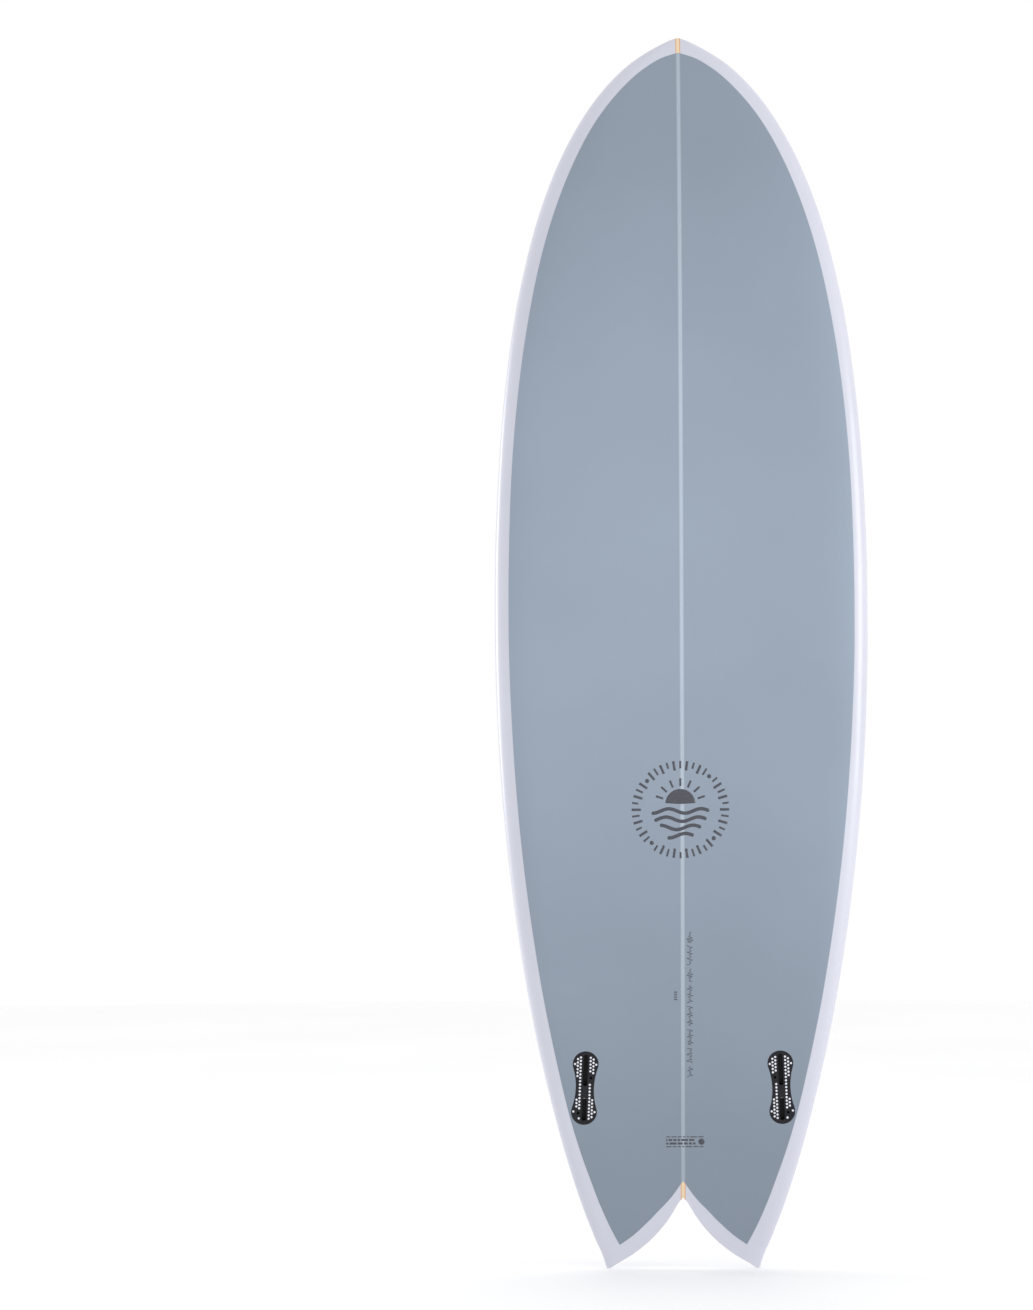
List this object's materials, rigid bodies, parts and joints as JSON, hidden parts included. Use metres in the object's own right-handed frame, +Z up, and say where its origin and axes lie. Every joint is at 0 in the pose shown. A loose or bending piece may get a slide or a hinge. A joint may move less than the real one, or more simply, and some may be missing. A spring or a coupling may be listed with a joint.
{
  "type": "shortboard surfboard",
  "caption": "Swallow-tail shortboard with stringered foam core, glass skin, fin plugs with sprung retaining barrels and a leash cup.",
  "frame": {"origin": "midway between the two tail tips at the level they rest on, centred on the board's width and thickness", "axes": "+Z up the board towards the nose, -Y out of the deck, +Y out of the bottom, +X towards the rider's right-hand rail"},
  "size_m": [0.5442, 0.0945, 1.8034],
  "materials": {
    "foam": "fine closed-cell foam",
    "timber": "fine straight grain",
    "glue": "tinted glue line",
    "deck_glass": "sanded clear laminate over white foam",
    "bottom_glass": "sanded grey-blue tinted laminate",
    "plug_nylon": "fine moulded texture",
    "cell_resin": "white resin",
    "base_foam": "dense foam",
    "titanium": "turned",
    "elastomer": "soft moulded",
    "stainless": "drawn bar"
  },
  "bodies": {
    "board": {"foam_left": "foam", "foam_right": "foam", "stringer": "timber", "glue_left": "glue", "glue_right": "glue", "deck_laminate": "deck_glass", "bottom_laminate": "bottom_glass", "fin_plug_right": "plug_nylon", "fin_plug_left": "plug_nylon", "cell_resin_right": "cell_resin", "cell_resin_left": "cell_resin", "plug_base_right": "base_foam", "plug_base_left": "base_foam", "spring_right": "elastomer", "spring_left": "elastomer", "leash_cup": "plug_nylon", "leash_bar": "stainless", "leash_bedding": "cell_resin"},
    "barrel_right": {"barrel_right": "titanium"},
    "barrel_left": {"barrel_left": "titanium"}
  },
  "joints": [
    {"name": "barrel_right_slide", "type": "slide", "parent": "board", "child": "barrel_right", "axis": [-0.0402, 0.0898, 0.9952], "range_m": [0, 0.0015], "stiffness_N_per_m": 5000, "deforming": ["spring_right"]},
    {"name": "barrel_left_slide", "type": "slide", "parent": "board", "child": "barrel_left", "axis": [0.0402, 0.0898, 0.9952], "range_m": [0, 0.0015], "stiffness_N_per_m": 5000, "deforming": ["spring_left"]}
  ]
}
